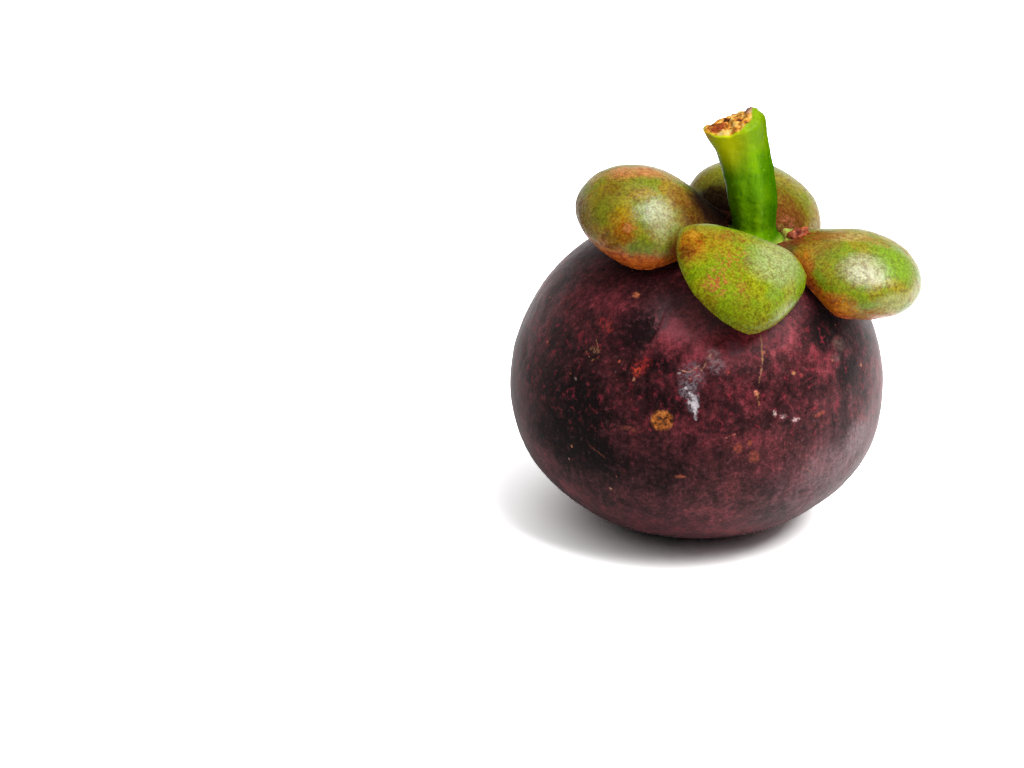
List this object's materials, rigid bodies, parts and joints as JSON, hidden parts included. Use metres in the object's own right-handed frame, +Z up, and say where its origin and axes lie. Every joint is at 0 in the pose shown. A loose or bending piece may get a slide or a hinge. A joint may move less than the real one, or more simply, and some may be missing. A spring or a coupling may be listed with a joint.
{
  "type": "mangosteen",
  "caption": "Whole mangosteen: a rounded purple fruit standing on its blossom end, topped by a short cut stalk and thick domed green sepals.",
  "frame": {"origin": "The middle of the flat at the blossom end that the fruit stands on, in the face of the stigma rosette.", "axes": "+Z is up, through the blossom end's middle; the front sepal is on the -Y side and the right sepal on the +X side. The stalk and the sepals sit off the Z axis, to the right and the front."},
  "size_m": [0.0651, 0.0608, 0.0713],
  "materials": {
    "skin": "satin",
    "stalk": "satin",
    "sepal": "satin",
    "rosette": "matt"
  },
  "bodies": {
    "root": {"fruit_body": "skin", "stem": "stalk", "sepal_front": "sepal", "sepal_right": "sepal", "sepal_back": "sepal", "sepal_left": "sepal", "stigma_rosette": "rosette"}
  },
  "joints": []
}
